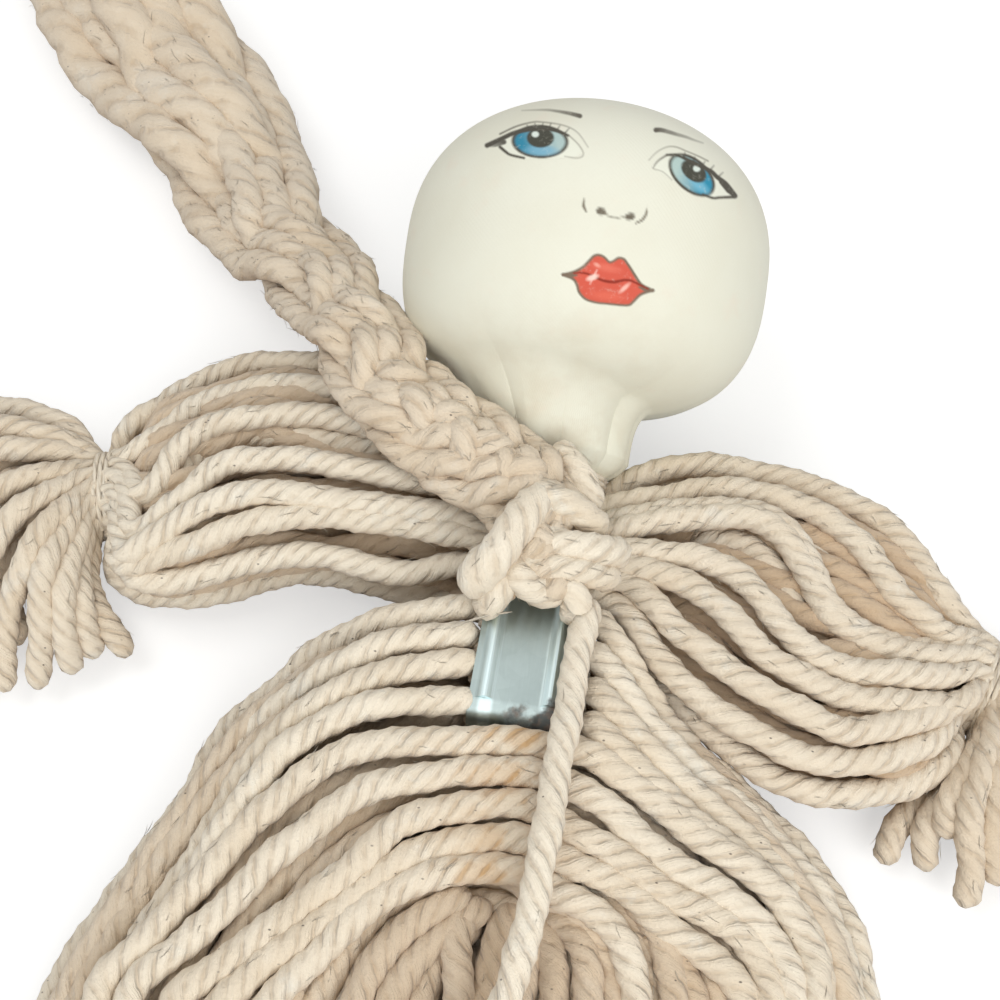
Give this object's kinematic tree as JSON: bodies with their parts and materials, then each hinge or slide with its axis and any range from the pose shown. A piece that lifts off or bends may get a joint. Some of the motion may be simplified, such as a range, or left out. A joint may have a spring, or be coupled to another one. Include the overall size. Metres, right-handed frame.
{
  "type": "yarn doll",
  "caption": "Yarn doll lying on its back: mop-yarn arms and skirt gripped in a folded steel clip, a stuffed cloth head with a printed face, and a long yarn plait over one shoulder.",
  "frame": {"origin": "on the back face of the steel clip, which lies on the surface, on the middle line of the doll", "axes": "+Y towards the crown, +Z out of the doll's front, +X towards the doll's left hand"},
  "size_m": [0.2733, 0.3564, 0.0669],
  "materials": {
    "clip_steel": "galvanised sheet, a little stained at its lower edge",
    "mop_yarn": "unbleached twisted cotton mop yarn with seed flecks",
    "head_cloth": "fine off-white cotton cloth with a printed face",
    "stuffing": "loose fibre",
    "tie_thread": "thin twisted cotton thread"
  },
  "bodies": {
    "torso": {"steel_clip": "clip_steel", "chest_yarn": "mop_yarn", "right_upper_arm": "mop_yarn", "left_upper_arm": "mop_yarn", "skirt_right_lock": "mop_yarn", "skirt_left_lock": "mop_yarn", "waist_loop": "mop_yarn", "skirt_center_lock": "mop_yarn", "loose_strand": "mop_yarn", "plait_anchor": "mop_yarn", "plait_strand_a": "mop_yarn", "plait_strand_b": "mop_yarn", "plait_strand_c": "mop_yarn", "plait_end_tie": "tie_thread", "plait_tassel": "mop_yarn"},
    "neck": {"neck_gather": "head_cloth", "neck_thread": "tie_thread"},
    "head": {"head_cover": "head_cloth", "head_stuffing": "stuffing"},
    "right_arm": {"right_forearm": "mop_yarn", "right_wrist_tie": "tie_thread"},
    "right_hand": {"right_hand_tassel": "mop_yarn"},
    "left_arm": {"left_forearm": "mop_yarn", "left_wrist_tie": "tie_thread"},
    "left_hand": {"left_hand_tassel": "mop_yarn"}
  },
  "joints": [
    {"name": "head_nod", "type": "hinge", "parent": "torso", "child": "neck", "pos_m": [0, 0.024, 0.0225], "axis": [1, 0, 0], "range_deg": [0, 8]},
    {"name": "head_turn", "type": "hinge", "parent": "neck", "child": "head", "pos_m": [0, 0.06577, 0.03398], "axis": [0, 0.9205, 0.3907], "range_deg": [-35, 35]},
    {"name": "right_elbow_lift", "type": "hinge", "parent": "torso", "child": "right_arm", "pos_m": [-0.05026, 0.027, 0.0272], "axis": [0, 1, 0], "range_deg": [0, 60]},
    {"name": "right_wrist_lift", "type": "hinge", "parent": "right_arm", "child": "right_hand", "pos_m": [-0.08411, 0.01732, 0.0164], "axis": [-0.2588, 0.9659, 0], "range_deg": [0, 45]},
    {"name": "left_elbow_lift", "type": "hinge", "parent": "torso", "child": "left_arm", "pos_m": [0.0445, 0.011, 0.0272], "axis": [0, -1, 0], "range_deg": [0, 60]},
    {"name": "left_wrist_lift", "type": "hinge", "parent": "left_arm", "child": "left_hand", "pos_m": [0.07967, 0.00291, 0.0164], "axis": [-0.3746, -0.9272, 0], "range_deg": [0, 45]}
  ]
}
